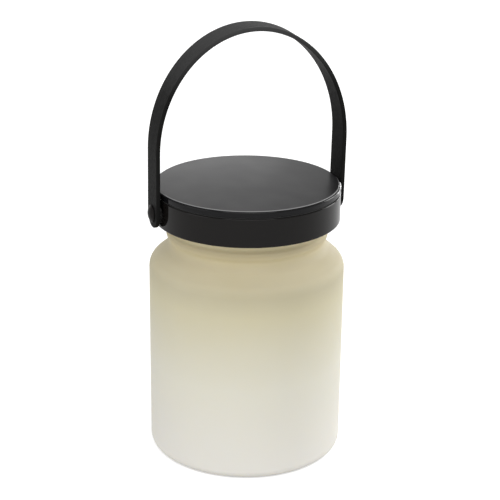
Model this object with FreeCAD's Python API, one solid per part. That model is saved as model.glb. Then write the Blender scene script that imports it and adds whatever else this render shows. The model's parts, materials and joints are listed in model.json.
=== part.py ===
import FreeCAD
import Part
import math
import os

from FreeCAD import Vector

# Jar lantern: a frosted glass jar, a screw lid with a solar panel and a lamp module, and a strap handle.
# All sizes are in millimetres.  Z is up, X runs along the handle's pivot and the origin is the centre of
# the jar's foot.

# Glass jar
JAR_RADIUS = 50.8
JAR_BODY_HEIGHT = 99.9
JAR_WALL = 3.0
JAR_FLOOR = 5.0
HEEL_RADIUS = 4.4
FOOT_WIDTH = 6.5
PUSH_UP = 2.0
SHOULDER_RADIUS = 7.0
SHOULDER_SWEEP = 50.0
NECK_RADIUS = 40.5
NECK_HEIGHT = 25.6
NECK_FILLET = 6.5
NECK_FILLET_SHARE = 0.9
BEAD_ROUND = 3.5
BEAD_FOOT_ROUND = 2.5
BEAD_FLARE = 40.0
RIM_ROUND = 0.8

# Lid
SEAL_THICKNESS = 1.2
SEAL_PLAY = 0.3
DECK_THICKNESS = 2.2
SKIRT_DEPTH = 14.8
SKIRT_WALL = 2.2
COLLAR_DEPTH = 10.8
COLLAR_WALL = 1.8
COLLAR_GAP = 1.4
THREAD_ROOM = 2.1
SKIRT_ROUND = 0.6

# Top cover and solar panel
GASKET_THICKNESS = 0.6
GASKET_INSET = 1.8
COVER_HEIGHT = 3.1
COVER_PLATE = 1.7
COVER_RIM = 4.6
COVER_ROUND = 0.8
GROOVE_ROUND = 0.4
PANEL_MARGIN = 4.5
PANEL_THICKNESS = 1.2
CELL_COUNT = 4
CELL_WIDTH = 14.5
CELL_GAP = 1.0
CELL_THICKNESS = 0.3
CELL_MARGIN = 2.0

# Handle
STRAP_WIDTH = 14.6
STRAP_THICKNESS = 2.1
STRAP_STANDOFF = 1.3
STRAP_ROUND = 0.5
LEG_HEIGHT = 32.65
ARCH_RISE = 61.0
HANDLE_LEAN = 1.8
PIVOT_DROP = 7.4
PAD_RADIUS = 5.4
SHOULDER_PIN_RADIUS = 2.6
STUD_SHANK_RADIUS = 1.8
STUD_GRIP = 4.0
STUD_HEAD_RADIUS = 4.5
STUD_HEAD_HEIGHT = 1.9
STUD_HEAD_EDGE = 0.4

# Clearances
PIN_PLAY = 0.05
SIDE_PLAY = 0.15
PRESS_PLAY = 0.02
SLIDE_PLAY = 0.3

# Lamp housing under the lid
HOUSING_CLEARANCE = 1.5
HOUSING_WALL = 1.6
HOUSING_FLOOR = 1.8
HOUSING_DEPTH = 21.4
HOUSING_ROUND = 1.0
COLUMN_COUNT = 3
COLUMN_RADIUS = 3.8
COLUMN_SINK = 1.2
COLUMN_RECESS = 8.0
BOSS_RADIUS = 2.3
BOSS_LENGTH = 6.0
SCREW_RADIUS = 1.25
SCREW_HEAD_RADIUS = 2.3
SCREW_HEAD_HEIGHT = 1.6
SCREW_BITE = 4.8

# Circuit board, lamps and switch
BOARD_LENGTH = 32.0
BOARD_DEPTH = 23.0
BOARD_THICKNESS = 1.6
BOARD_EDGE_Y = -1.0
POST_LENGTH = 8.8
POST_RADIUS = 2.5
POST_INSET = 3.0
BOARD_SCREW_RADIUS = 1.0
BOARD_SCREW_HEAD_RADIUS = 1.9
BOARD_SCREW_HEAD_HEIGHT = 1.3
BOARD_SCREW_BITE = 4.0
CHIP_LENGTH = 4.9
CHIP_DEPTH = 3.9
CHIP_HEIGHT = 1.5
COIL_RADIUS = 2.6
COIL_HEIGHT = 5.5
LAMP_COUNT = 3
LAMP_RADIUS = 2.5
LAMP_FLANGE_RADIUS = 2.9
LAMP_FLANGE_HEIGHT = 1.0
LAMP_HEIGHT = 8.6
LAMP_CIRCLE = 4.2
LAMP_CENTRE_Y = -8.5
DIFFUSER_RADIUS = 8.5
DIFFUSER_WALL = 1.2
DIFFUSER_DROP = 4.5
DIFFUSER_FLANGE = 1.2
DIFFUSER_FLANGE_HEIGHT = 1.0
SWITCH_Y = -21.0
SWITCH_LENGTH = 8.6
SWITCH_DEPTH = 4.0
SWITCH_HEIGHT = 3.6
SWITCH_TRAVEL = 2.0
LEVER_LENGTH = 2.0
LEVER_DEPTH = 1.8
LEVER_DROP = 3.4
LEVER_ROOT = 1.2
BUTTON_LENGTH = 4.0
BUTTON_DEPTH = 2.6
BUTTON_PLATE_LAP = 2.4
BUTTON_PLATE_DEPTH_LAP = 1.0
BUTTON_PLATE = 1.0
BUTTON_PROUD = 1.4
BUTTON_SOCKET_WALL = 0.9
BUTTON_RIB_COUNT = 3
BUTTON_RIB_HEIGHT = 0.4
BUTTON_RIB_WIDTH = 0.6

# Battery bay
BATTERY_DIAMETER = 10.5
BATTERY_LENGTH = 44.5
BATTERY_TIP_RADIUS = 1.9
BATTERY_TIP_LENGTH = 0.9
BATTERY_Y = 11.0
BAY_PLAY = 0.3
BAY_WALL = 1.2
CONTACT_THICKNESS = 0.4
CONTACT_MARGIN = 0.5
TAB_WIDTH = 4.0
TAB_RISE = 4.5
SPRING_LENGTH = 4.0
SPRING_RADIUS = 3.0
SPRING_WIRE_RADIUS = 0.4
SPRING_PITCH = 1.1
DOOR_THICKNESS = 1.5
DOOR_LAP = 2.6
DOOR_CORNER = 2.0
DOOR_EAR_RADIUS = 4.0
DOOR_EAR_OFFSET = 1.6
DOOR_BOSS_RADIUS = 2.6
DOOR_BOSS_HEIGHT = 5.0
PEG_LENGTH = 4.0
PEG_DEPTH = 1.2
PEG_HEIGHT = 1.3
PEG_SPREAD = 28.0

# Leads
LEAD_RADIUS = 0.7
LEAD_HOLE_RADIUS = 3.4
LEAD_HOLE_Y = 3.0
LEAD_PITCH = 3.0
LEAD_DROP = 5.0
LEAD_PAD_Y = -3.2
LEAD_PAD_RISE = 4.0
LEAD_PAD_PITCH = 5.6
LEAD_POST_GAP = 0.8
BATTERY_LEAD_RUN = 5.0
ARC_SHARE = 0.45

# Cutting tools run past the faces that they open by this much.
OVERCUT = 1.0

# Shoulder: an arc from the jar's side, then a cone up to the neck
shoulder_centre = (JAR_RADIUS - SHOULDER_RADIUS, JAR_BODY_HEIGHT)
shoulder_slope = math.tan(math.radians(90 - SHOULDER_SWEEP))


def on_circle(centre, radius, degrees):
    """Point of a circle in the (radius, height) plane."""
    angle = math.radians(degrees)
    return (centre[0] + radius * math.cos(angle), centre[1] + radius * math.sin(angle))


def arc(centre, radius, start, end):
    """Middle and end points of a circle's arc between two angles in degrees."""
    return (on_circle(centre, radius, (start + end) / 2), on_circle(centre, radius, end))


def cone_height(arc_radius, radius):
    """Height, at the given radius, of the cone that leaves the shoulder's arc at the end of its sweep."""
    start = on_circle(shoulder_centre, arc_radius, SHOULDER_SWEEP)
    return start[1] + (start[0] - radius) * shoulder_slope


def neck_round(arc_radius, radius, wanted):
    """Radius and centre of the rounding from that cone to the neck, limited by the cone's length."""
    start = on_circle(shoulder_centre, arc_radius, SHOULDER_SWEEP)
    cone_length = (start[0] - radius) / math.sin(math.radians(SHOULDER_SWEEP))
    half_turn = math.tan(math.radians(SHOULDER_SWEEP / 2))
    held = min(wanted, NECK_FILLET_SHARE * cone_length / half_turn)
    return held, (radius + held, cone_height(arc_radius, radius) + held * half_turn)


# Radii that follow from the jar's neck
neck_bore = NECK_RADIUS - JAR_WALL
collar_bore = NECK_RADIUS + THREAD_ROOM
collar_outer = collar_bore + COLLAR_WALL
skirt_bore = collar_outer + COLLAR_GAP
lid_radius = skirt_bore + SKIRT_WALL
housing_radius = neck_bore - HOUSING_CLEARANCE
housing_bore = housing_radius - HOUSING_WALL
column_circle = housing_bore - COLUMN_RADIUS + COLUMN_SINK
panel_radius = lid_radius - COVER_RIM - PANEL_MARGIN

# Heights, from the neck up
neck_foot = cone_height(SHOULDER_RADIUS, NECK_RADIUS)
rim_height = neck_foot + NECK_HEIGHT
deck_under = rim_height + SEAL_THICKNESS
deck_top = deck_under + DECK_THICKNESS
lid_bottom = deck_top - SKIRT_DEPTH
cover_bottom = deck_top + GASKET_THICKNESS
cover_top = cover_bottom + COVER_HEIGHT
cover_ceiling = cover_top - COVER_PLATE
panel_top = deck_top + PANEL_THICKNESS
pivot_height = deck_top - PIVOT_DROP
column_top = deck_under - BOSS_LENGTH
board_top = deck_under - POST_LENGTH
board_under = board_top - BOARD_THICKNESS
floor_under = deck_under - HOUSING_DEPTH
floor_top = floor_under + HOUSING_FLOOR

# Handle spans, measured from the lid's axis
strap_inner = lid_radius + STRAP_STANDOFF
strap_outer = strap_inner + STRAP_THICKNESS
pad_face = strap_inner - SIDE_PLAY
head_seat = strap_outer + SIDE_PLAY

# Battery bay
battery_radius = BATTERY_DIAMETER / 2
battery_height = floor_under + BAY_PLAY + battery_radius
bay_length = BATTERY_LENGTH + SPRING_LENGTH + 2 * CONTACT_THICKNESS
bay_width = BATTERY_DIAMETER + 2 * BAY_PLAY
bay_end = bay_length / 2
bay_ceiling = battery_height + battery_radius + BAY_PLAY
bay_top = bay_ceiling + BAY_WALL
door_length = bay_length + 2 * DOOR_LAP
door_depth = bay_width + 2 * DOOR_LAP
door_screw_y = BATTERY_Y + door_depth / 2 + DOOR_EAR_OFFSET

# Circuit board
board_centre_y = BOARD_EDGE_Y - BOARD_DEPTH / 2
post_x = BOARD_LENGTH / 2 - POST_INSET
battery_pad_x = post_x - POST_RADIUS - LEAD_POST_GAP - LEAD_RADIUS
post_places = [
    (-post_x, BOARD_EDGE_Y - POST_INSET),
    (post_x, BOARD_EDGE_Y - BOARD_DEPTH + POST_INSET),
]
column_places = [
    (
        column_circle * math.cos(math.radians(90 + 360 * index / COLUMN_COUNT)),
        column_circle * math.sin(math.radians(90 + 360 * index / COLUMN_COUNT)),
    )
    for index in range(COLUMN_COUNT)
]

UP = Vector(0, 0, 1)
ALONG_X = Vector(1, 0, 0)


def turned(start, *steps):
    """Solid turned about Z.  Steps are (radius, height) points; a pair is an arc's middle and end."""
    here = Vector(start[0], 0, start[1])
    edges = []
    for step in steps + (start,):
        if isinstance(step[0], tuple):
            middle, end = [Vector(radius, 0, height) for radius, height in step]
            edges.append(Part.Arc(here, middle, end).toShape())
        else:
            end = Vector(step[0], 0, step[1])
            edges.append(Part.LineSegment(here, end).toShape())
        here = end
    return Part.Face(Part.Wire(edges)).revolve(Vector(), UP, 360)


def cap_rise(base_radius, rise, radius):
    """Height above its base, at the given radius, of a spherical cap."""
    sphere = (base_radius ** 2 + rise ** 2) / (2 * rise)
    return math.sqrt(sphere ** 2 - radius ** 2) - (sphere - rise)


def rod(radius, bottom, top, x=0.0, y=0.0):
    """Upright cylinder between two heights."""
    return Part.makeCylinder(radius, top - bottom, Vector(x, y, bottom))


def cross_rod(radius, start_x, end_x, y, height):
    """Cylinder along X."""
    return Part.makeCylinder(radius, end_x - start_x, Vector(start_x, y, height), ALONG_X)


def slab(length, depth, bottom, top, x=0.0, y=0.0):
    """Upright block centred on (x, y)."""
    corner = Vector(x - length / 2, y - depth / 2, bottom)
    return Part.makeBox(length, depth, top - bottom, corner)


def rounded_slab(length, depth, bottom, top, corner, x=0.0, y=0.0):
    """Block with its upright edges rounded."""
    block = slab(length, depth, bottom, top, x, y)
    upright = [edge for edge in block.Edges if edge.tangentAt(edge.FirstParameter).isParallel(UP, 1e-6)]
    return block.makeFillet(corner, upright)


def rings(shape, *places):
    """Edges of a shape that are circles round Z at the given (radius, height) places."""
    found = []
    for edge in shape.Edges:
        if edge.Degenerated or not isinstance(edge.Curve, Part.Circle):
            continue
        curve = edge.Curve
        for radius, height in places:
            if abs(curve.Radius - radius) < 1e-5 and abs(curve.Center.z - height) < 1e-5:
                found.append(edge)
    return found


def pan_screw(shank, head, head_height, seat, tip, x, y):
    """Screw that points up: its head hangs below the seat height, its shank ends at the tip height."""
    dome = head_height / 2
    middle = (head / 2, seat - head_height + dome - cap_rise(head, dome, head / 2))
    screw = turned(
        (0, tip),
        (shank, tip),
        (shank, seat),
        (head, seat),
        (head, seat - head_height + dome),
        (middle, (0, seat - head_height)),
    )
    screw.translate(Vector(x, y, 0))
    return screw


def lead(points):
    """Insulated wire along straight runs joined by arcs as large as the runs allow."""
    path = []
    here = points[0]
    for before, corner, after in zip(points, points[1:], points[2:]):
        arrive = (corner - before).normalize()
        leave = (after - corner).normalize()
        turn = arrive.getAngle(leave)
        setback = ARC_SHARE * min((corner - before).Length, (after - corner).Length)
        radius = setback / math.tan(turn / 2)
        arc_start = corner - arrive * setback
        arc_end = corner + leave * setback
        inward = (leave - arrive).normalize()
        middle = corner + inward * (radius / math.cos(turn / 2) - radius)
        path.append(Part.LineSegment(here, arc_start).toShape())
        path.append(Part.Arc(arc_start, middle, arc_end).toShape())
        here = arc_end
    path.append(Part.LineSegment(here, points[-1]).toShape())
    section = Part.makeCircle(LEAD_RADIUS, points[0], points[1] - points[0])
    return Part.Wire(path).makePipeShell([Part.Wire(section)], True, True)


def glass_jar():
    cone_end = 180 + SHOULDER_SWEEP
    heel_centre = (JAR_RADIUS - HEEL_RADIUS, HEEL_RADIUS)
    foot_inner = JAR_RADIUS - HEEL_RADIUS - FOOT_WIDTH
    push_up_middle = (foot_inner / 2, cap_rise(foot_inner, PUSH_UP, foot_inner / 2))
    outer_round, waist_centre = neck_round(SHOULDER_RADIUS, NECK_RADIUS, NECK_FILLET)

    # A rounded bead stands out between the waist and the lid.
    waist = waist_centre[1]
    bead_rise = (BEAD_FOOT_ROUND + BEAD_ROUND) * math.sin(math.radians(BEAD_FLARE))
    bead_offset = (BEAD_FOOT_ROUND + BEAD_ROUND) * math.cos(math.radians(BEAD_FLARE))
    bead_foot_centre = (NECK_RADIUS + BEAD_FOOT_ROUND, waist)
    bead_centre = (bead_foot_centre[0] - bead_offset, waist + bead_rise)
    bead_top_centre = (bead_foot_centre[0], waist + 2 * bead_rise)
    body = turned(
        (0, PUSH_UP),
        (push_up_middle, (foot_inner, 0)),
        (JAR_RADIUS - HEEL_RADIUS, 0),
        arc(heel_centre, HEEL_RADIUS, -90, 0),
        (JAR_RADIUS, JAR_BODY_HEIGHT),
        arc(shoulder_centre, SHOULDER_RADIUS, 0, SHOULDER_SWEEP),
        on_circle(waist_centre, outer_round, cone_end),
        arc(waist_centre, outer_round, cone_end, 180),
        arc(bead_foot_centre, BEAD_FOOT_ROUND, 180, 180 - BEAD_FLARE),
        arc(bead_centre, BEAD_ROUND, -BEAD_FLARE, BEAD_FLARE),
        arc(bead_top_centre, BEAD_FOOT_ROUND, 180 + BEAD_FLARE, 180),
        (NECK_RADIUS, rim_height),
        (0, rim_height),
    )

    bore = JAR_RADIUS - JAR_WALL
    bore_heel = HEEL_RADIUS - JAR_WALL
    bore_heel_centre = (bore - bore_heel, JAR_FLOOR + bore_heel)
    bore_shoulder = SHOULDER_RADIUS - JAR_WALL
    bore_round, bore_waist_centre = neck_round(bore_shoulder, neck_bore, outer_round + JAR_WALL)
    cavity = turned(
        (0, JAR_FLOOR),
        (bore - bore_heel, JAR_FLOOR),
        arc(bore_heel_centre, bore_heel, -90, 0),
        (bore, JAR_BODY_HEIGHT),
        arc(shoulder_centre, bore_shoulder, 0, SHOULDER_SWEEP),
        on_circle(bore_waist_centre, bore_round, cone_end),
        arc(bore_waist_centre, bore_round, cone_end, 180),
        (neck_bore, rim_height + OVERCUT),
        (0, rim_height + OVERCUT),
    )
    jar = body.cut(cavity)
    return jar.makeFillet(RIM_ROUND, rings(jar, (NECK_RADIUS, rim_height), (neck_bore, rim_height)))


def lid_seal():
    inner = neck_bore + SEAL_PLAY
    outer = collar_bore - SEAL_PLAY
    return turned((inner, rim_height), (outer, rim_height), (outer, deck_under), (inner, deck_under))


def lid_shell():
    collar_bottom = deck_under - COLLAR_DEPTH
    shell = turned(
        (0, deck_under),
        (collar_bore, deck_under),
        (collar_bore, collar_bottom),
        (collar_outer, collar_bottom),
        (collar_outer, deck_under),
        (skirt_bore, deck_under),
        (skirt_bore, lid_bottom),
        (lid_radius, lid_bottom),
        (lid_radius, deck_top),
        (0, deck_top),
    )
    shell = shell.makeFillet(SKIRT_ROUND, rings(shell, (lid_radius, lid_bottom), (lid_radius, deck_top)))

    # Pivot bosses tie the skirt to the collar and stand out to the strap.
    neck_room = rod(collar_bore, lid_bottom, deck_under)
    for side in (-1, 1):
        start, end = sorted((side * NECK_RADIUS, side * pad_face))
        boss = cross_rod(PAD_RADIUS, start, end, 0, pivot_height)
        shell = shell.fuse(boss.cut(neck_room))
    for side in (-1, 1):
        start, end = sorted((side * (lid_radius - STUD_GRIP), side * (pad_face + OVERCUT)))
        shell = shell.cut(cross_rod(STUD_SHANK_RADIUS + PRESS_PLAY, start, end, 0, pivot_height))

    # Screw bosses for the lamp housing and posts for the circuit board hang from the deck.
    for x, y in column_places:
        shell = shell.fuse(rod(BOSS_RADIUS, column_top, deck_top, x, y))
        pilot_top = column_top + SCREW_BITE + OVERCUT
        pilot = rod(SCREW_RADIUS + PRESS_PLAY, column_top - OVERCUT, pilot_top, x, y)
        shell = shell.cut(pilot)
    for x, y in post_places:
        shell = shell.fuse(rod(POST_RADIUS, board_top, deck_top, x, y))
        pilot_top = board_top + BOARD_SCREW_BITE + OVERCUT
        pilot = rod(BOARD_SCREW_RADIUS + PRESS_PLAY, board_top - OVERCUT, pilot_top, x, y)
        shell = shell.cut(pilot)

    lead_hole = rod(LEAD_HOLE_RADIUS, deck_under - OVERCUT, deck_top + OVERCUT, 0, LEAD_HOLE_Y)
    return shell.cut(lead_hole).removeSplitter()


def top_cover():
    rim_bore = lid_radius - COVER_RIM
    cover = turned(
        (0, cover_ceiling),
        (rim_bore, cover_ceiling),
        (rim_bore, cover_bottom),
        (lid_radius, cover_bottom),
        (lid_radius, cover_top),
        (0, cover_top),
    )
    cover = cover.makeFillet(COVER_ROUND, rings(cover, (lid_radius, cover_top)))
    return cover.makeFillet(GROOVE_ROUND, rings(cover, (lid_radius, cover_bottom)))


def cover_gasket():
    inner = lid_radius - COVER_RIM
    outer = lid_radius - GASKET_INSET
    return turned((inner, deck_top), (outer, deck_top), (outer, cover_bottom), (inner, cover_bottom))


def solar_board():
    return rod(panel_radius, deck_top, panel_top)


def solar_cells():
    outline = rod(panel_radius - CELL_MARGIN, panel_top, panel_top + CELL_THICKNESS)
    pitch = CELL_WIDTH + CELL_GAP
    strips = []
    for index in range(CELL_COUNT):
        x = (index - (CELL_COUNT - 1) / 2) * pitch
        strip = slab(CELL_WIDTH, 2 * panel_radius, panel_top, panel_top + CELL_THICKNESS, x)
        strips.append(strip.common(outline).Solids[0])
    return Part.makeCompound(strips)


def handle_arch(span, rise, spring_line):
    """Upper half of an ellipse in the XZ plane."""
    centre = Vector(0, 0, spring_line)
    side = Vector(span, 0, spring_line)
    crown = Vector(0, 0, spring_line + rise)
    if rise > span:
        return Part.ArcOfEllipse(Part.Ellipse(crown, side, centre), -math.pi / 2, math.pi / 2).toShape()
    return Part.ArcOfEllipse(Part.Ellipse(side, crown, centre), 0, math.pi).toShape()


def handle_strap():
    spring_line = pivot_height + LEG_HEIGHT
    half_width = STRAP_WIDTH / 2
    foot = pivot_height - half_width
    edges = [handle_arch(strap_outer, ARCH_RISE, spring_line)]
    edges.append(handle_arch(strap_inner, ARCH_RISE - STRAP_THICKNESS, spring_line))
    for side in (-1, 1):
        corners = [
            Vector(side * strap_outer, 0, spring_line),
            Vector(side * strap_outer, 0, foot),
            Vector(side * strap_inner, 0, foot),
            Vector(side * strap_inner, 0, spring_line),
        ]
        edges += [Part.LineSegment(a, b).toShape() for a, b in zip(corners, corners[1:])]
    band = Part.Face(Part.Wire(Part.__sortEdges__(edges)))
    band.translate(Vector(0, -half_width, 0))
    strap = band.extrude(Vector(0, STRAP_WIDTH, 0))

    # The ends are rounded about the pivots.
    top = spring_line + ARCH_RISE + OVERCUT
    reach = strap_outer + OVERCUT
    tongue = slab(2 * reach, STRAP_WIDTH, pivot_height, top)
    tongue = tongue.fuse(cross_rod(half_width, -reach, reach, 0, pivot_height))
    strap = strap.common(tongue.removeSplitter())
    long_edges = []
    for edge in strap.Edges:
        straight = isinstance(edge.Curve, Part.Line)
        if not straight or edge.tangentAt(edge.FirstParameter).isParallel(UP, 1e-6):
            long_edges.append(edge)
    strap = strap.makeFillet(STRAP_ROUND, long_edges)
    strap = strap.cut(cross_rod(SHOULDER_PIN_RADIUS + PIN_PLAY, -reach, reach, 0, pivot_height))
    strap.rotate(Vector(0, 0, pivot_height), ALONG_X, HANDLE_LEAN)
    return strap


def pivot_stud(side):
    """Domed stud: a shank in the lid's boss, a shoulder for the strap to turn on and a head outside it."""
    tip = lid_radius - STUD_GRIP
    dome = STUD_HEAD_HEIGHT - STUD_HEAD_EDGE
    edge = head_seat + STUD_HEAD_EDGE
    middle = (STUD_HEAD_RADIUS / 2, edge + cap_rise(STUD_HEAD_RADIUS, dome, STUD_HEAD_RADIUS / 2))
    stud = turned(
        (0, tip),
        (STUD_SHANK_RADIUS, tip),
        (STUD_SHANK_RADIUS, pad_face),
        (SHOULDER_PIN_RADIUS, pad_face),
        (SHOULDER_PIN_RADIUS, head_seat),
        (STUD_HEAD_RADIUS, head_seat),
        (STUD_HEAD_RADIUS, edge),
        (middle, (0, head_seat + STUD_HEAD_HEIGHT)),
    )
    stud.rotate(Vector(), Vector(0, 1, 0), 90 * side)
    stud.translate(Vector(0, 0, pivot_height))
    return stud


def light_housing():
    housing = rod(housing_radius, floor_under, deck_under)
    housing = housing.makeFillet(HOUSING_ROUND, rings(housing, (housing_radius, floor_under)))
    housing = housing.cut(rod(housing_bore, floor_top, deck_under + OVERCUT))

    # Screw columns, recessed from below for the heads
    for x, y in column_places:
        housing = housing.fuse(rod(COLUMN_RADIUS, floor_under, column_top, x, y))
    for x, y in column_places:
        recess_top = floor_under + COLUMN_RECESS
        recess = rod(SCREW_HEAD_RADIUS + SLIDE_PLAY, floor_under - OVERCUT, recess_top, x, y)
        through = rod(SCREW_RADIUS + SLIDE_PLAY, floor_under, column_top + OVERCUT, x, y)
        housing = housing.cut(recess).cut(through)

    # Battery bay: a box open below, with slots in its roof for the contact tabs
    walls = slab(bay_length + 2 * BAY_WALL, bay_width + 2 * BAY_WALL, floor_under, bay_top, 0, BATTERY_Y)
    housing = housing.fuse(walls)
    housing = housing.cut(slab(bay_length, bay_width, floor_under - OVERCUT, bay_ceiling, 0, BATTERY_Y))
    slot_length = CONTACT_THICKNESS + SLIDE_PLAY
    slot_depth = TAB_WIDTH + 2 * SLIDE_PLAY
    for side in (-1, 1):
        slot_x = side * (bay_end - slot_length / 2)
        slot = slab(slot_length, slot_depth, bay_ceiling - OVERCUT, bay_top + OVERCUT, slot_x, BATTERY_Y)
        housing = housing.cut(slot)

    # Boss for the door's screw and sockets for its pegs
    boss_top = floor_top + DOOR_BOSS_HEIGHT
    housing = housing.fuse(rod(DOOR_BOSS_RADIUS, floor_under, boss_top, 0, door_screw_y))
    pilot_top = floor_under + SCREW_BITE + SLIDE_PLAY
    housing = housing.cut(rod(SCREW_RADIUS + PRESS_PLAY, floor_under - OVERCUT, pilot_top, 0, door_screw_y))
    socket_length = PEG_LENGTH + 2 * SIDE_PLAY
    socket_depth = PEG_DEPTH + 2 * SIDE_PLAY
    socket_top = floor_under + PEG_HEIGHT + SIDE_PLAY
    for x, y in peg_places():
        housing = housing.cut(slab(socket_length, socket_depth, floor_under - OVERCUT, socket_top, x, y))

    # Openings for the lamps' diffuser and the switch button
    window = rod(DIFFUSER_RADIUS + SIDE_PLAY, floor_under - OVERCUT, floor_top + OVERCUT, 0, LAMP_CENTRE_Y)
    slot_length = BUTTON_LENGTH + SWITCH_TRAVEL + 2 * SLIDE_PLAY
    slot_depth = BUTTON_DEPTH + 2 * SLIDE_PLAY
    slot = slab(slot_length, slot_depth, floor_under - OVERCUT, floor_top + OVERCUT, 0, SWITCH_Y)
    return housing.cut(window).cut(slot).removeSplitter()


def peg_places():
    peg_y = BATTERY_Y - bay_width / 2 - DOOR_LAP / 2 - PEG_DEPTH / 2
    return [(side * PEG_SPREAD / 2, peg_y) for side in (-1, 1)]


def housing_screws():
    seat = floor_under + COLUMN_RECESS
    tip = column_top + SCREW_BITE
    screws = [
        pan_screw(SCREW_RADIUS, SCREW_HEAD_RADIUS, SCREW_HEAD_HEIGHT, seat, tip, x, y)
        for x, y in column_places
    ]
    return Part.makeCompound(screws)


def circuit_board():
    board = slab(BOARD_LENGTH, BOARD_DEPTH, board_under, board_top, 0, board_centre_y)
    hole = BOARD_SCREW_RADIUS + SIDE_PLAY
    for x, y in post_places:
        board = board.cut(rod(hole, board_under - OVERCUT, board_top + OVERCUT, x, y))
    return board


def board_screws():
    tip = board_top + BOARD_SCREW_BITE
    head = BOARD_SCREW_HEAD_RADIUS
    screws = [
        pan_screw(BOARD_SCREW_RADIUS, head, BOARD_SCREW_HEAD_HEIGHT, board_under, tip, x, y)
        for x, y in post_places
    ]
    return Part.makeCompound(screws)


def driver_chip():
    chip_x = -BOARD_LENGTH / 4
    return slab(CHIP_LENGTH, CHIP_DEPTH, board_top, board_top + CHIP_HEIGHT, chip_x, board_centre_y)


def inductor():
    return rod(COIL_RADIUS, board_top, board_top + COIL_HEIGHT, BOARD_LENGTH / 4, board_centre_y)


def leds():
    seat = board_under - LAMP_FLANGE_HEIGHT
    dome_start = board_under - LAMP_HEIGHT + LAMP_RADIUS
    lamps = []
    for index in range(LAMP_COUNT):
        lamp = turned(
            (0, board_under),
            (LAMP_FLANGE_RADIUS, board_under),
            (LAMP_FLANGE_RADIUS, seat),
            (LAMP_RADIUS, seat),
            (LAMP_RADIUS, dome_start),
            arc((0, dome_start), LAMP_RADIUS, 0, -90),
        )
        x, y = on_circle((0, LAMP_CENTRE_Y), LAMP_CIRCLE, 90 + 360 * index / LAMP_COUNT)
        lamp.translate(Vector(x, y, 0))
        lamps.append(lamp)
    return Part.makeCompound(lamps)


def led_diffuser():
    inner = DIFFUSER_RADIUS - DIFFUSER_WALL
    flange = DIFFUSER_RADIUS + DIFFUSER_FLANGE
    flange_top = floor_top + DIFFUSER_FLANGE_HEIGHT
    inner_drop = DIFFUSER_DROP - DIFFUSER_WALL
    outer_middle = floor_under - cap_rise(DIFFUSER_RADIUS, DIFFUSER_DROP, DIFFUSER_RADIUS / 2)
    inner_middle = floor_under - cap_rise(inner, inner_drop, inner / 2)
    dome = turned(
        (inner, flange_top),
        (flange, flange_top),
        (flange, floor_top),
        (DIFFUSER_RADIUS, floor_top),
        (DIFFUSER_RADIUS, floor_under),
        ((DIFFUSER_RADIUS / 2, outer_middle), (0, floor_under - DIFFUSER_DROP)),
        (0, floor_under - inner_drop),
        ((inner / 2, inner_middle), (inner, floor_under)),
    )
    dome.translate(Vector(0, LAMP_CENTRE_Y, 0))
    return dome


# The switch rests at the start of its travel.
switch_x = -SWITCH_TRAVEL / 2


def switch_body():
    body = slab(SWITCH_LENGTH, SWITCH_DEPTH, board_under - SWITCH_HEIGHT, board_under, 0, SWITCH_Y)
    slot_length = LEVER_LENGTH + SWITCH_TRAVEL + 2 * SLIDE_PLAY
    slot_depth = LEVER_DEPTH + 2 * SLIDE_PLAY
    slot_bottom = board_under - SWITCH_HEIGHT
    slot_top = slot_bottom + LEVER_ROOT + SLIDE_PLAY
    return body.cut(slab(slot_length, slot_depth, slot_bottom - OVERCUT, slot_top, 0, SWITCH_Y))


def switch_lever():
    root = board_under - SWITCH_HEIGHT + LEVER_ROOT
    tip = board_under - SWITCH_HEIGHT - LEVER_DROP
    return slab(LEVER_LENGTH, LEVER_DEPTH, tip, root, switch_x, SWITCH_Y)


def switch_button():
    plate_bottom = floor_top + SIDE_PLAY
    plate_top = plate_bottom + BUTTON_PLATE
    lever_tip = board_under - SWITCH_HEIGHT - LEVER_DROP
    socket_top = (lever_tip + board_under - SWITCH_HEIGHT) / 2
    plate_length = BUTTON_LENGTH + SWITCH_TRAVEL + 2 * BUTTON_PLATE_LAP
    plate_depth = BUTTON_DEPTH + 2 * SLIDE_PLAY + 2 * BUTTON_PLATE_DEPTH_LAP
    socket_length = LEVER_LENGTH + 2 * SIDE_PLAY + 2 * BUTTON_SOCKET_WALL
    socket_depth = LEVER_DEPTH + 2 * SIDE_PLAY + 2 * BUTTON_SOCKET_WALL
    thumb_bottom = floor_under - BUTTON_PROUD
    button = slab(BUTTON_LENGTH, BUTTON_DEPTH, thumb_bottom, plate_bottom, switch_x, SWITCH_Y)
    button = button.fuse(slab(plate_length, plate_depth, plate_bottom, plate_top, switch_x, SWITCH_Y))
    button = button.fuse(slab(socket_length, socket_depth, plate_top, socket_top, switch_x, SWITCH_Y))
    socket = slab(LEVER_LENGTH + 2 * SIDE_PLAY, LEVER_DEPTH + 2 * SIDE_PLAY, lever_tip - SIDE_PLAY,
                  socket_top + OVERCUT, switch_x, SWITCH_Y)
    button = button.cut(socket)
    for index in range(BUTTON_RIB_COUNT):
        rib_x = switch_x + (index - (BUTTON_RIB_COUNT - 1) / 2) * 2 * BUTTON_RIB_WIDTH
        rib_bottom = thumb_bottom - BUTTON_RIB_HEIGHT
        rib = slab(BUTTON_RIB_WIDTH, BUTTON_DEPTH, rib_bottom, thumb_bottom, rib_x, SWITCH_Y)
        button = button.fuse(rib)
    return button.removeSplitter()


def battery_cell():
    tip = bay_end - CONTACT_THICKNESS
    shoulder = tip - BATTERY_TIP_LENGTH
    can = cross_rod(battery_radius, tip - BATTERY_LENGTH, shoulder, BATTERY_Y, battery_height)
    return can.fuse(cross_rod(BATTERY_TIP_RADIUS, shoulder, tip, BATTERY_Y, battery_height))


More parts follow.
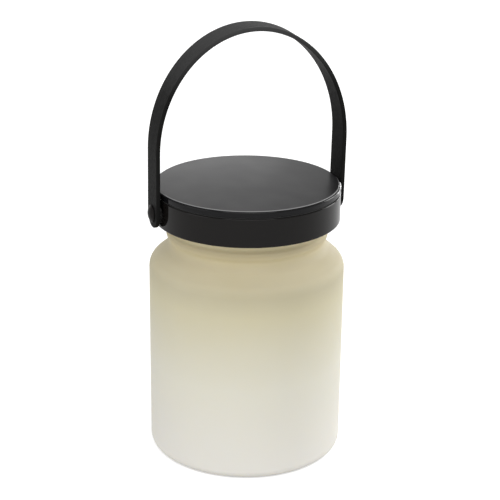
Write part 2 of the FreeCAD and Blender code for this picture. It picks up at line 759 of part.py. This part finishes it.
def contact_plate(side):
    x = side * (bay_end - CONTACT_THICKNESS / 2)
    width = BATTERY_DIAMETER - 2 * CONTACT_MARGIN
    blade_top = bay_ceiling - CONTACT_MARGIN
    blade = slab(CONTACT_THICKNESS, width, floor_top, blade_top, x, BATTERY_Y)
    tab = slab(CONTACT_THICKNESS, TAB_WIDTH, blade_top, bay_top + TAB_RISE, x, BATTERY_Y)
    return blade.fuse(tab)


def contact_spring():
    wire_room = SPRING_WIRE_RADIUS + PIN_PLAY
    helix = Part.makeHelix(SPRING_PITCH, SPRING_LENGTH - 2 * wire_room, SPRING_RADIUS)
    section = Part.makeCircle(SPRING_WIRE_RADIUS, Vector(SPRING_RADIUS, 0, 0), Vector(0, 1, 0))
    spring = helix.makePipeShell([Part.Wire(section)], True, True)
    spring.rotate(Vector(), Vector(0, 1, 0), 90)
    spring.translate(Vector(-bay_end + CONTACT_THICKNESS + wire_room, BATTERY_Y, battery_height))
    return spring


def battery_door():
    bottom = floor_under - DOOR_THICKNESS
    door = rounded_slab(door_length, door_depth, bottom, floor_under, DOOR_CORNER, 0, BATTERY_Y)
    door = door.fuse(rod(DOOR_EAR_RADIUS, bottom, floor_under, 0, door_screw_y)).removeSplitter()
    door = door.cut(rod(SCREW_RADIUS + SIDE_PLAY, bottom - OVERCUT, floor_under + OVERCUT, 0, door_screw_y))
    for x, y in peg_places():
        door = door.fuse(slab(PEG_LENGTH, PEG_DEPTH, bottom, floor_under + PEG_HEIGHT, x, y))
    return door.removeSplitter()


def door_screw():
    seat = floor_under - DOOR_THICKNESS
    tip = floor_under + SCREW_BITE
    return pan_screw(SCREW_RADIUS, SCREW_HEAD_RADIUS, SCREW_HEAD_HEIGHT, seat, tip, 0, door_screw_y)


def panel_lead(side):
    start_x = side * LEAD_PITCH / 2
    pad_x = side * LEAD_PAD_PITCH / 2
    return lead([
        Vector(start_x, LEAD_HOLE_Y, deck_top),
        Vector(start_x, LEAD_HOLE_Y, deck_top - LEAD_DROP),
        Vector(pad_x, LEAD_PAD_Y, board_top + LEAD_PAD_RISE),
        Vector(pad_x, LEAD_PAD_Y, board_top),
    ])


def battery_lead(side):
    tab_x = side * (bay_end - CONTACT_THICKNESS)
    tab_height = bay_top + TAB_RISE - LEAD_RADIUS
    return lead([
        Vector(tab_x, BATTERY_Y, tab_height),
        Vector(tab_x - side * BATTERY_LEAD_RUN, BATTERY_Y, tab_height),
        Vector(side * battery_pad_x, LEAD_PAD_Y, board_top + LEAD_PAD_RISE),
        Vector(side * battery_pad_x, LEAD_PAD_Y, board_top),
    ])


pieces = {
    "glass_jar": glass_jar(),
    "lid_seal": lid_seal(),
    "lid_shell": lid_shell(),
    "top_cover": top_cover(),
    "cover_gasket": cover_gasket(),
    "solar_board": solar_board(),
    "solar_cells": solar_cells(),
    "panel_lead_red": panel_lead(-1),
    "panel_lead_black": panel_lead(1),
    "handle_strap": handle_strap(),
    "left_stud": pivot_stud(-1),
    "right_stud": pivot_stud(1),
    "light_housing": light_housing(),
    "housing_screws": housing_screws(),
    "circuit_board": circuit_board(),
    "board_screws": board_screws(),
    "driver_chip": driver_chip(),
    "inductor": inductor(),
    "leds": leds(),
    "led_diffuser": led_diffuser(),
    "switch_body": switch_body(),
    "switch_lever": switch_lever(),
    "switch_button": switch_button(),
    "battery_cell": battery_cell(),
    "positive_contact": contact_plate(1),
    "negative_contact": contact_plate(-1),
    "contact_spring": contact_spring(),
    "battery_lead_red": battery_lead(1),
    "battery_lead_black": battery_lead(-1),
    "battery_door": battery_door(),
    "door_screw": door_screw(),
}

os.makedirs("parts", exist_ok=True)
for name, shape in pieces.items():
    shape.exportStep("parts/" + name + ".step")
    print(name, len(shape.Solids), round(shape.Volume, 2), shape.isValid())
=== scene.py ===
import json
import math

import bmesh
import bpy
from mathutils import Matrix, Vector


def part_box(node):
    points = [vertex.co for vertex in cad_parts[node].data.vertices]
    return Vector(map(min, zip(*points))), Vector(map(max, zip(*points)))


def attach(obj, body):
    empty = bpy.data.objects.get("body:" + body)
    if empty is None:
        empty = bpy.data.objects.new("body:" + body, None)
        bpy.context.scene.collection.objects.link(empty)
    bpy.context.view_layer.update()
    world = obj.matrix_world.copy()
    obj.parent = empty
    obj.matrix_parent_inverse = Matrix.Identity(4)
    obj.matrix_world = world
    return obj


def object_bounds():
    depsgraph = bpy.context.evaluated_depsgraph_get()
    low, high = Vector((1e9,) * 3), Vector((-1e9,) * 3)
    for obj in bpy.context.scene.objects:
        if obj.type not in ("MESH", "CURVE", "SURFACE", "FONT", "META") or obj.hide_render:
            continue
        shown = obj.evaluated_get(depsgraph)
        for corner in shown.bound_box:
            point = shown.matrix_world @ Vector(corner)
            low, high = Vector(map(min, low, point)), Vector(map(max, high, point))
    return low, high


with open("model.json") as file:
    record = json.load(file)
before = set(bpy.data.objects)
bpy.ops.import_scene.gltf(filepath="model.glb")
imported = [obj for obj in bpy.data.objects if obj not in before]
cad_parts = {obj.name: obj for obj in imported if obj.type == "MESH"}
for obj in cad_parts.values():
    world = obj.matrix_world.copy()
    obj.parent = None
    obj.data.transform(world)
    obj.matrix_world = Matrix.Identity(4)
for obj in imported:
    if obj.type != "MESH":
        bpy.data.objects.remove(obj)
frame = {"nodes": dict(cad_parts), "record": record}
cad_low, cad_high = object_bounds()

# Looks of the jar lantern, in metres, in the same frame as its solids: Z up, X along the handle's pivot.

# Camera of the photograph: it stands on a circle round the jar's axis and looks slightly down
PHOTO_PIXELS = 500
FOCAL_PIXELS = 1488.5
SENSOR_MM = 36.0
CAMERA_AZIMUTH = math.radians(-21.23)
CAMERA_DISTANCE = 0.72761
CAMERA_HEIGHT = 0.37740
CAMERA_PITCH = math.radians(20.351)
CAMERA_YAW = math.radians(0.132)
CAMERA_ROLL = math.radians(0.676)

# Screw thread between the jar's neck and the lid
THREAD_PITCH = 0.00508
THREAD_REACH = 0.0012
THREAD_HALF_WIDTH = 0.0010
THREAD_ROOT = 0.0004
THREAD_STEPS = 96
THREAD_TAPER_STEPS = 14
THREAD_PROFILE_POINTS = 9
JAR_THREAD_TURNS = 1.35
LID_THREAD_TURNS = 1.1
JAR_THREAD_BELOW_RIM = 0.0096
COLLAR_BORE_RADIUS = 0.0426
NECK_RADIUS = 0.0405

# Lip of the gasket in the groove under the cover
LIP_INSET = 0.00025
LIP_STEPS = 180

# Window of the cover: a thin plate with a bevelled edge and a slightly crowned face
WINDOW_INSET = 0.0008
WINDOW_BEVEL = 0.0004
WINDOW_EASE = 0.0001
WINDOW_CROWN = 0.0006
WINDOW_SUNK = 0.0002
WINDOW_RINGS = 12
WINDOW_STEPS = 180

# Colours, as linear light
GLASS_FOOT = (0.83, 0.805, 0.75)
GLASS_MIDDLE = (0.76, 0.735, 0.625)
GLASS_UPPER = (0.63, 0.582, 0.404)
# Shoulder and bead: cream tint darkened as painted shade; waist and mouth: cream tint paled as painted
# light
GLASS_SHOULDER_PAINTED_SHADE = (0.515, 0.467, 0.318)
GLASS_CONE = (0.565, 0.496, 0.323)
GLASS_WAIST_PAINTED_LIGHT = (0.64, 0.559, 0.345)
GLASS_BEAD_PAINTED_SHADE = (0.54, 0.463, 0.281)
GLASS_MOUTH_PAINTED_LIGHT = (0.80, 0.695, 0.429)
LID_BLACK = (0.0070, 0.0061, 0.0056)
COVER_SMOKE = (0.005, 0.005, 0.0056)
COVER_HAZE = (0.015, 0.015, 0.0155)
# Bevel of the window: pale grey as a painted highlight
COVER_EDGE_PAINTED_HIGHLIGHT = (0.24, 0.24, 0.24)
STRAP_BLACK = (0.0112, 0.0112, 0.0107)
STRAP_WORN = (0.015, 0.015, 0.015)
# Top of the strap's arch: paler as a painted sheen
STRAP_PAINTED_SHEEN = (0.055, 0.055, 0.055)
DUST = (0.10, 0.10, 0.10)
CELL_BLUE = (0.010, 0.014, 0.045)
CELL_LINE = (0.25, 0.25, 0.26)
LAMP_YELLOW = (0.90, 0.80, 0.45)
LAMP_PALE = (0.95, 0.90, 0.70)

# Tint of the glass by height, from the foot at 0 to the rim at 1; the shoulder and bead stops are darkened
# as painted shade and the waist and mouth stops paled as painted light, to even out the shading there
GLASS_TINT_AND_PAINTED_SHADE_STOPS = [
    (0.0, GLASS_FOOT),
    (0.36, GLASS_MIDDLE),
    (0.65, GLASS_UPPER),
    (0.745, GLASS_SHOULDER_PAINTED_SHADE),
    (0.815, GLASS_CONE),
    (0.844, GLASS_WAIST_PAINTED_LIGHT),
    (0.866, GLASS_BEAD_PAINTED_SHADE),
    (0.886, GLASS_MOUTH_PAINTED_LIGHT),
]

# Height above which the strap is paler: a painted sheen on the top of its arch
PAINTED_SHEEN_FROM = 0.195

# Noise: the range that it mostly keeps to, and the cycles per metre of each use of it
NOISE_RANGE = (0.3, 0.7)
GLASS_CLOUD = 28
GLASS_ETCH = 350
GLASS_GRAIN = 2600
DUST_SPECKS = 4200
GLOSS_WEAR = 240
MOULD_RIPPLE = 160
WINDOW_SMEAR = 70
WINDOW_WEAR = 45
STRAP_MOTTLE = 45
STRAP_WEAR = 600
STRAP_GRAIN = 1900
PLASTIC_MOTTLE = 300
PLASTIC_GRAIN = 1500
METAL_STREAK = 900
LAMP_CLOUD = 500

# Noise that shows only where it is high: where it starts and is full, and its share of the colour there
DUST_RANGE = (0.74, 0.82)
DUST_SHARE = 0.35
MOTTLE_RANGE = (0.42, 0.75)
MOTTLE_SHARE = 0.6

# Most that the clouds in the glass take of the foot's colour
CLOUD_SHARE = 0.06

# Stretch of the noise along X, Y and Z
EVEN = (1.0, 1.0, 1.0)
SMEARED = (1.0, 0.6, 1.0)
DRAWN = (1.0, 1.0, 0.08)

# Bumps: strength and depth
GLASS_BUMP = (0.10, 0.0002)
MOULD_BUMP = (0.04, 0.0004)
STRAP_BUMP = (0.22, 0.0004)
PLASTIC_BUMP = (0.08, 0.0002)

# Shine of the outer surfaces: least and most roughness, and specular level
GLASS_ROUGHNESS = (0.58, 0.68)
GLASS_SPECULAR = 0.3
WINDOW_ROUGHNESS = (0.31, 0.35)
WINDOW_SPECULAR = 0.26
STRAP_ROUGHNESS = (0.36, 0.50)
STRAP_SPECULAR = 0.015

# Shine of the cells and lamps, and the lamps' share of light let through
CELL_ROUGHNESS = 0.2
LAMP_ROUGHNESS = 0.12
LAMP_CLEARNESS = 0.4

# Light inside the frosted glass
GLASS_IOR = 1.5
GLASS_SCATTER = 0.25
GLASS_SCATTER_COLOURS = (1.0, 0.85, 0.6)
GLASS_SCATTER_DEPTH = 0.006

# Collector lines of the solar cells: scale of the wave, and where a line starts on it
CELL_WAVE = 110
CELL_LINE_FROM = 0.96

# Gloss mouldings: colour, least and most roughness, specular level
GLOSS_BLACKS = {
    "lid_gloss": (LID_BLACK, (0.06, 0.10), 0.20),
    "smoked_cover": (COVER_SMOKE, (0.08, 0.12), 0.20),
    "stud_gloss": (LID_BLACK, (0.32, 0.40), 0.12),
}

# Small mouldings, mostly inside: the two colours of their mottle, roughness
PLAIN_PLASTICS = {
    "seal_silicone": ((0.72, 0.72, 0.68), (0.62, 0.62, 0.58), 0.5),
    "gasket_foam": ((0.012, 0.012, 0.012), (0.03, 0.03, 0.03), 0.9),
    "panel_laminate": ((0.015, 0.018, 0.018), (0.03, 0.035, 0.035), 0.5),
    "housing_white": ((0.78, 0.78, 0.75), (0.72, 0.72, 0.69), 0.45),
    "board_green": ((0.02, 0.16, 0.06), (0.03, 0.22, 0.09), 0.35),
    "chip_black": ((0.010, 0.010, 0.010), (0.025, 0.025, 0.025), 0.5),
    "coil_ferrite": ((0.03, 0.03, 0.033), (0.06, 0.06, 0.065), 0.6),
    "diffuser_opal": ((0.88, 0.87, 0.82), (0.82, 0.80, 0.74), 0.4),
    "switch_black": ((0.012, 0.012, 0.012), (0.03, 0.03, 0.03), 0.45),
    "cell_sleeve": ((0.05, 0.20, 0.10), (0.07, 0.26, 0.14), 0.25),
    "lead_red": ((0.45, 0.02, 0.015), (0.38, 0.015, 0.012), 0.4),
    "lead_black": ((0.012, 0.012, 0.012), (0.03, 0.03, 0.03), 0.4),
}

# Plated metals: colour, least and most roughness
PLATED_METALS = {
    "contact_nickel": ((0.68, 0.66, 0.61), (0.22, 0.37)),
    "screw_steel": ((0.60, 0.60, 0.60), (0.28, 0.43)),
}

# Brightness of their streaks, as a share of their colour
STREAK_SHADE = 0.8

# Stage
FLOOR_SIZE = 6.0
FLOOR_WHITE = (0.75, 0.75, 0.75)
FLOOR_ROUGHNESS = 0.9
FLOOR_GLOW = 0.5
FLOOR_MIRRORED = 0.15
WORLD_WHITE = (1.0, 1.0, 1.0, 1.0)
WORLD_STRENGTH = 0.60

# Lamps: place to the right, up and back of the jar as the camera sees it; width and height; power in watts
SOFTBOXES = {
    "right_softbox": (0.87, 0.38, 0.46, 0.35, 0.60, 3.8),
    "edge_softbox": (0.58, 0.11, 0.94, 0.60, 0.10, 2.2),
    "left_softbox": (-0.85, 0.28, -0.48, 0.50, 0.80, 1.25),
    "front_softbox": (0.06, 1.25, -0.90, 1.30, 0.80, 9.5),
    "back_softbox": (-0.42, 0.29, 1.20, 1.00, 0.36, 1.55),
}

# Sockets of a mix node that mixes colours
MIX_FACTOR = 0
MIX_FIRST = 6
MIX_SECOND = 7
MIX_RESULT = 2


class Look:
    """A material with its Principled shader and short ways to add nodes to it."""

    def __init__(self, name):
        self.material = bpy.data.materials.new(name)
        self.material.use_nodes = True
        self.tree = self.material.node_tree
        self.shader = self.tree.nodes["Principled BSDF"]
        self.place = self.add("ShaderNodeTexCoord").outputs["Object"]

    def add(self, kind, **settings):
        """New node of a kind, with its settings."""
        made = self.tree.nodes.new(kind)
        for key, value in settings.items():
            setattr(made, key, value)
        return made

    def link(self, output, socket):
        """Wire from a node's output to a socket."""
        self.tree.links.new(output, socket)

    def set(self, socket, value):
        """A fixed value on the shader's own socket; a colour may leave out its alpha."""
        if isinstance(value, tuple) and len(value) == 3 and socket.endswith("Color"):
            value = value + (1.0,)
        self.shader.inputs[socket].default_value = value

    def noise(self, per_metre, detail=3.0, stretch=EVEN):
        """Noise in the object's own space."""
        mapping = self.add("ShaderNodeMapping")
        mapping.inputs["Scale"].default_value = stretch
        texture = self.add("ShaderNodeTexNoise")
        texture.inputs["Scale"].default_value = per_metre
        texture.inputs["Detail"].default_value = detail
        self.link(self.place, mapping.inputs["Vector"])
        self.link(mapping.outputs["Vector"], texture.inputs["Vector"])
        return texture.outputs["Fac"]

    def remap(self, value, start, end, low, high):
        """Value that goes from low to high while another goes from start to end."""
        made = self.add("ShaderNodeMapRange")
        made.inputs["From Min"].default_value = start
        made.inputs["From Max"].default_value = end
        made.inputs["To Min"].default_value = low
        made.inputs["To Max"].default_value = high
        self.link(value, made.inputs["Value"])
        return made.outputs["Result"]

    def height(self):
        """Height above the jar's foot."""
        split = self.add("ShaderNodeSeparateXYZ")
        self.link(self.place, split.inputs["Vector"])
        return split.outputs["Z"]

    def radius(self):
        """Distance from the jar's axis."""
        flat = self.add("ShaderNodeVectorMath", operation="MULTIPLY")
        flat.inputs[1].default_value = (1.0, 1.0, 0.0)
        length = self.add("ShaderNodeVectorMath", operation="LENGTH")
        self.link(self.place, flat.inputs[0])
        self.link(flat.outputs["Vector"], length.inputs[0])
        return length.outputs["Value"]

    def ramp(self, value, stops):
        """Colour that changes evenly from stop to stop."""
        made = self.add("ShaderNodeValToRGB")
        made.color_ramp.interpolation = "LINEAR"
        elements = made.color_ramp.elements
        while len(elements) < len(stops):
            elements.new(0.5)
        for element, (position, colour) in zip(elements, stops):
            element.position = position
            element.color = colour + (1.0,)
        self.link(value, made.inputs["Fac"])
        return made.outputs["Color"]

    def mix(self, factor, first, second):
        """Colour between two colours, each a tuple or a node's output."""
        made = self.add("ShaderNodeMix", data_type="RGBA")
        for number, colour in ((MIX_FIRST, first), (MIX_SECOND, second)):
            socket = made.inputs[number]
            if isinstance(colour, tuple):
                socket.default_value = colour + (1.0,)
            else:
                self.link(colour, socket)
        self.link(factor, made.inputs[MIX_FACTOR])
        return made.outputs[MIX_RESULT]

    def bump(self, height, strength, depth):
        """Fine relief of the surface."""
        made = self.add("ShaderNodeBump")
        made.inputs["Strength"].default_value = strength
        made.inputs["Distance"].default_value = depth
        self.link(height, made.inputs["Height"])
        self.link(made.outputs["Normal"], self.shader.inputs["Normal"])

    def ripple(self):
        """Trace of ripple that moulding leaves in a gloss surface."""
        self.bump(self.noise(MOULD_RIPPLE, detail=2.0), *MOULD_BUMP)

    def colour(self, output):
        """Colour of the surface."""
        self.link(output, self.shader.inputs["Base Color"])

    def roughness(self, noise, least, most):
        """Roughness that follows a noise."""
        self.link(self.remap(noise, *NOISE_RANGE, least, most), self.shader.inputs["Roughness"])


def frosted_glass():
    """Etched glass: cream under the lid, paler towards the foot, with a fine etched grain; painted shade
    darkens the shoulder arc and the bead, and painted light pales the waist and the neck under the lid.
    """
    look = Look("frosted_glass")
    low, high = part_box("glass_jar")
    level = look.remap(look.height(), low.z, high.z, 0.0, 1.0)
    # Tint ramp with painted shade at the shoulder and bead and painted light at the waist and mouth
    tint_and_painted_shade = look.ramp(level, GLASS_TINT_AND_PAINTED_SHADE_STOPS)
    cloud = look.remap(look.noise(GLASS_CLOUD, detail=2.0), *NOISE_RANGE, 0.0, CLOUD_SHARE)
    look.colour(look.mix(cloud, tint_and_painted_shade, GLASS_FOOT))
    look.roughness(look.noise(GLASS_ETCH), *GLASS_ROUGHNESS)
    look.bump(look.noise(GLASS_GRAIN, detail=4.0), *GLASS_BUMP)
    look.set("IOR", GLASS_IOR)
    look.set("Specular IOR Level", GLASS_SPECULAR)
    look.set("Subsurface Weight", GLASS_SCATTER)
    look.set("Subsurface Radius", GLASS_SCATTER_COLOURS)
    look.set("Subsurface Scale", GLASS_SCATTER_DEPTH)
    return look.material


def gloss_black(name, colour, roughness, specular):
    """Moulded gloss plastic with faint dust and a trace of moulding ripple."""
    look = Look(name)
    speck = look.remap(look.noise(DUST_SPECKS, detail=1.0), *DUST_RANGE, 0.0, DUST_SHARE)
    look.colour(look.mix(speck, colour, DUST))
    look.roughness(look.noise(GLOSS_WEAR), *roughness)
    look.ripple()
    look.set("Specular IOR Level", specular)
    return look.material


def smoked_window():
    """Satin window of the cover, with a faint uneven haze and a painted highlight on its bevelled edge."""
    look = Look("smoked_window")
    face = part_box("top_cover")[1].x - WINDOW_INSET - WINDOW_BEVEL
    # Pale ring on the bevel: a painted highlight
    edge = look.remap(look.radius(), face, face + WINDOW_EASE, 0.0, 1.0)
    smear = look.noise(WINDOW_SMEAR, detail=1.5, stretch=SMEARED)
    haze = look.remap(smear, *NOISE_RANGE, 0.0, 1.0)
    look.colour(look.mix(edge, look.mix(haze, COVER_SMOKE, COVER_HAZE), COVER_EDGE_PAINTED_HIGHLIGHT))
    look.roughness(look.noise(WINDOW_WEAR, detail=1.0), *WINDOW_ROUGHNESS)
    look.ripple()
    look.set("Specular IOR Level", WINDOW_SPECULAR)
    return look.material


def satin_strap():
    """Satin black strap with a fine moulded grain, and a painted sheen that makes it paler towards the top
    of its arch.
    """
    look = Look("strap_satin")
    mottle = look.remap(look.noise(STRAP_MOTTLE, detail=4.0), *MOTTLE_RANGE, 0.0, MOTTLE_SHARE)
    # Paler towards the top of the arch: a painted sheen
    painted_sheen = look.remap(look.height(), PAINTED_SHEEN_FROM, cad_high.z, 0.0, 1.0)
    look.colour(look.mix(painted_sheen, look.mix(mottle, STRAP_BLACK, STRAP_WORN), STRAP_PAINTED_SHEEN))
    look.roughness(look.noise(STRAP_WEAR), *STRAP_ROUGHNESS)
    look.bump(look.noise(STRAP_GRAIN, detail=2.0), *STRAP_BUMP)
    look.set("Specular IOR Level", STRAP_SPECULAR)
    return look.material


def plain_plastic(name, colour, shade, roughness):
    """Small moulding: slightly mottled colour and a fine moulded surface."""
    look = Look(name)
    look.colour(look.mix(look.noise(PLASTIC_MOTTLE), colour, shade))
    look.set("Roughness", roughness)
    look.bump(look.noise(PLASTIC_GRAIN, detail=2.0), *PLASTIC_BUMP)
    return look.material


def plated_metal(name, colour, roughness):
    """Plated metal with fine drawn streaks."""
    look = Look(name)
    streak = look.noise(METAL_STREAK, detail=4.0, stretch=DRAWN)
    look.colour(look.mix(streak, colour, tuple(STREAK_SHADE * channel for channel in colour)))
    look.roughness(streak, *roughness)
    look.set("Metallic", 1.0)
    return look.material


def solar_silicon():
    """Dark blue cells with fine collector lines across them."""
    look = Look("solar_silicon")
    wave = look.add("ShaderNodeTexWave", wave_type="BANDS", bands_direction="Y")
    wave.inputs["Scale"].default_value = CELL_WAVE
    look.link(look.place, wave.inputs["Vector"])
    line = look.remap(wave.outputs["Fac"], CELL_LINE_FROM, 1.0, 0.0, 1.0)
    look.colour(look.mix(line, CELL_BLUE, CELL_LINE))
    look.set("Roughness", CELL_ROUGHNESS)
    return look.material


def warm_lamp():
    """Clear lamp with a warm yellow phosphor tint."""
    look = Look("lamp_epoxy")
    look.colour(look.mix(look.noise(LAMP_CLOUD), LAMP_YELLOW, LAMP_PALE))
    look.set("Roughness", LAMP_ROUGHNESS)
    look.set("Transmission Weight", LAMP_CLEARNESS)
    return look.material


def riding_piece(name, mesh, body, look):
    """Smooth object from a finished mesh, which moves with a body."""
    bmesh.ops.recalc_face_normals(mesh, faces=mesh.faces)
    data = bpy.data.meshes.new(name)
    mesh.to_mesh(data)
    mesh.free()
    data.shade_smooth()
    data.materials.append(look)
    piece = bpy.data.objects.new(name, data)
    bpy.context.scene.collection.objects.link(piece)
    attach(piece, body)


def turned_rings(mesh, profile, steps):
    """Rings of points round the jar's axis, one for each radius and height of a profile."""
    rings = []
    for radius, height in profile:
        ring = []
        for step in range(steps):
            angle = 2 * math.pi * step / steps
            ring.append(mesh.verts.new((radius * math.cos(angle), radius * math.sin(angle), height)))
        rings.append(ring)
    return rings


def skin(mesh, first, second):
    """Band of faces between two rings of points."""
    for step in range(len(first)):
        after = (step + 1) % len(first)
        mesh.faces.new((first[step], first[after], second[after], second[step]))


def helix_ridge(name, root_radius, outward, start_height, turns, body, look):
    """Rounded screw-thread ridge on a cylinder, tapered out at both ends."""
    mesh = bmesh.new()
    rings = []
    for step in range(THREAD_STEPS + 1):
        share = step / THREAD_STEPS
        angle = 2 * math.pi * turns * share
        taper = min(1.0, step / THREAD_TAPER_STEPS, (THREAD_STEPS - step) / THREAD_TAPER_STEPS)
        reach = THREAD_REACH * math.sin(taper * math.pi / 2)
        middle = start_height + THREAD_PITCH * turns * share
        ring = []
        for point in range(THREAD_PROFILE_POINTS):
            across = -1 + 2 * point / (THREAD_PROFILE_POINTS - 1)
            crown = (1 - across ** 2) ** 0.5
            radius = root_radius + outward * (reach * crown - THREAD_ROOT * (1 - crown))
            height = middle + across * THREAD_HALF_WIDTH
            ring.append(mesh.verts.new((radius * math.cos(angle), radius * math.sin(angle), height)))
        rings.append(ring)
    for before, after in zip(rings, rings[1:]):
        skin(mesh, before, after)
    mesh.faces.new(rings[0])
    mesh.faces.new(rings[-1])
    riding_piece(name, mesh, body, look)


def gasket_lip(look):
    """Rounded lip of the gasket, which nearly fills the groove between cover and lid."""
    low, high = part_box("cover_gasket")
    middle = (low.z + high.z) / 2
    half = (high.z - low.z) / 2
    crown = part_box("top_cover")[1].x - LIP_INSET
    profile = [
        (high.x, low.z),
        (crown - half, low.z),
        (crown, middle),
        (crown - half, high.z),
        (high.x, high.z),
    ]
    mesh = bmesh.new()
    rings = turned_rings(mesh, profile, LIP_STEPS)
    for first, second in zip(rings, rings[1:] + rings[:1]):
        skin(mesh, first, second)
    riding_piece("gasket_lip", mesh, "lid", look)


def cover_window(look):
    """Thin window plate on the cover, bevelled at its edge; its foot is sunk in the cover's top."""
    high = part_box("top_cover")[1]
    foot = high.x - WINDOW_INSET
    face = foot - WINDOW_BEVEL
    level = high.z + WINDOW_BEVEL
    profile = [
        (foot + WINDOW_SUNK, high.z - WINDOW_SUNK),
        (foot, high.z),
        (face, level),
    ]
    for ring in range(WINDOW_RINGS):
        radius = (face - WINDOW_EASE) * (1 - ring / WINDOW_RINGS)
        profile.append((radius, level + WINDOW_CROWN * (1 - (radius / face) ** 2)))
    mesh = bmesh.new()
    rings = turned_rings(mesh, profile, WINDOW_STEPS)
    for first, second in zip(rings, rings[1:]):
        skin(mesh, first, second)
    mesh.faces.new(rings[0])
    mesh.faces.new(rings[-1])
    riding_piece("cover_window", mesh, "lid", look)


def dress(looks):
    """Each solid takes the look of its material slot in the record."""
    for part in frame["record"]["subparts"]:
        data = frame["nodes"][part["node"]].data
        data.materials.clear()
        data.materials.append(looks[part["material_slot"]])


def floor_white():
    """Matt white that glows to the camera, also through clear pieces, and a little when mirrored."""
    look = Look("floor_white")
    look.set("Roughness", FLOOR_ROUGHNESS)
    look.set("Base Color", FLOOR_WHITE)
    glow = look.add("ShaderNodeEmission")
    paths = look.add("ShaderNodeLightPath")
    seen = look.add("ShaderNodeMath", operation="MAXIMUM")
    mirrored = look.add("ShaderNodeMath", operation="MULTIPLY_ADD")
    mirrored.inputs[1].default_value = FLOOR_MIRRORED
    strength = look.add("ShaderNodeMath", operation="MULTIPLY")
    strength.inputs[1].default_value = FLOOR_GLOW
    both = look.add("ShaderNodeAddShader")
    look.link(paths.outputs["Is Camera Ray"], seen.inputs[0])
    look.link(paths.outputs["Is Transmission Ray"], seen.inputs[1])
    look.link(paths.outputs["Is Glossy Ray"], mirrored.inputs[0])
    look.link(seen.outputs[0], mirrored.inputs[2])
    look.link(mirrored.outputs[0], strength.inputs[0])
    look.link(strength.outputs[0], glow.inputs["Strength"])
    look.link(look.shader.outputs["BSDF"], both.inputs[0])
    look.link(glow.outputs["Emission"], both.inputs[1])
    look.link(both.outputs["Shader"], look.tree.nodes["Material Output"].inputs["Surface"])
    return look.material


def white_stage():
    """White floor that keeps the object's shadow, and a white world."""
    scene = bpy.context.scene
    scene.view_settings.view_transform = "Standard"

    data = bpy.data.meshes.new("floor")
    half = FLOOR_SIZE / 2
    corners = [(-half, -half, 0), (half, -half, 0), (half, half, 0), (-half, half, 0)]
    data.from_pydata(corners, [], [(0, 1, 2, 3)])
    data.materials.append(floor_white())
    floor = bpy.data.objects.new("floor", data)
    scene.collection.objects.link(floor)

    world = bpy.data.worlds.new("white_world")
    world.use_nodes = True
    scene.world = world
    background = world.node_tree.nodes["Background"]
    background.inputs["Color"].default_value = WORLD_WHITE
    background.inputs["Strength"].default_value = WORLD_STRENGTH


def softbox(name, across, up, back, width, height, power):
    """Rectangular lamp facing the jar, placed right, up and back of it as the camera sees it."""
    data = bpy.data.lights.new(name, "AREA")
    data.shape = "RECTANGLE"
    data.size = width
    data.size_y = height
    data.energy = power
    lamp = bpy.data.objects.new(name, data)
    place = Matrix.Rotation(CAMERA_AZIMUTH, 4, "Z") @ Vector((across, back, up))
    aim = Vector((0, 0, (cad_low.z + cad_high.z) / 2)) - place
    lamp.location = place
    lamp.rotation_euler = aim.to_track_quat("-Z", "Y").to_euler()
    bpy.context.scene.collection.objects.link(lamp)


def photo_camera():
    """Camera that sees the lantern as the photograph does."""
    data = bpy.data.cameras.new("photo_camera")
    data.sensor_width = SENSOR_MM
    data.lens = SENSOR_MM * FOCAL_PIXELS / PHOTO_PIXELS
    camera = bpy.data.objects.new("photo_camera", data)
    away = Matrix.Translation((0, -CAMERA_DISTANCE, CAMERA_HEIGHT))
    stand = Matrix.Rotation(CAMERA_AZIMUTH, 4, "Z") @ away
    aim = Matrix.Rotation(-CAMERA_YAW, 4, "Z") @ Matrix.Rotation(math.pi / 2 - CAMERA_PITCH, 4, "X")
    camera.matrix_world = stand @ aim @ Matrix.Rotation(CAMERA_ROLL, 4, "Z")
    bpy.context.scene.collection.objects.link(camera)
    bpy.context.scene.camera = camera


looks = {
    "frosted_glass": frosted_glass(),
    "strap_satin": satin_strap(),
    "solar_silicon": solar_silicon(),
    "lamp_epoxy": warm_lamp(),
}
for slot, values in GLOSS_BLACKS.items():
    looks[slot] = gloss_black(slot, *values)
for slot, values in PLAIN_PLASTICS.items():
    looks[slot] = plain_plastic(slot, *values)
for slot, values in PLATED_METALS.items():
    looks[slot] = plated_metal(slot, *values)
dress(looks)

jar_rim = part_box("glass_jar")[1].z
thread_start = jar_rim - JAR_THREAD_BELOW_RIM
helix_ridge("neck_thread", NECK_RADIUS, 1, thread_start, JAR_THREAD_TURNS, "jar",
            looks["frosted_glass"])
helix_ridge("lid_thread", COLLAR_BORE_RADIUS, -1, thread_start + THREAD_PITCH / 2, LID_THREAD_TURNS, "lid",
            looks["lid_gloss"])
gasket_lip(looks["gasket_foam"])
cover_window(smoked_window())

white_stage()
for name, values in SOFTBOXES.items():
    softbox(name, *values)
photo_camera()
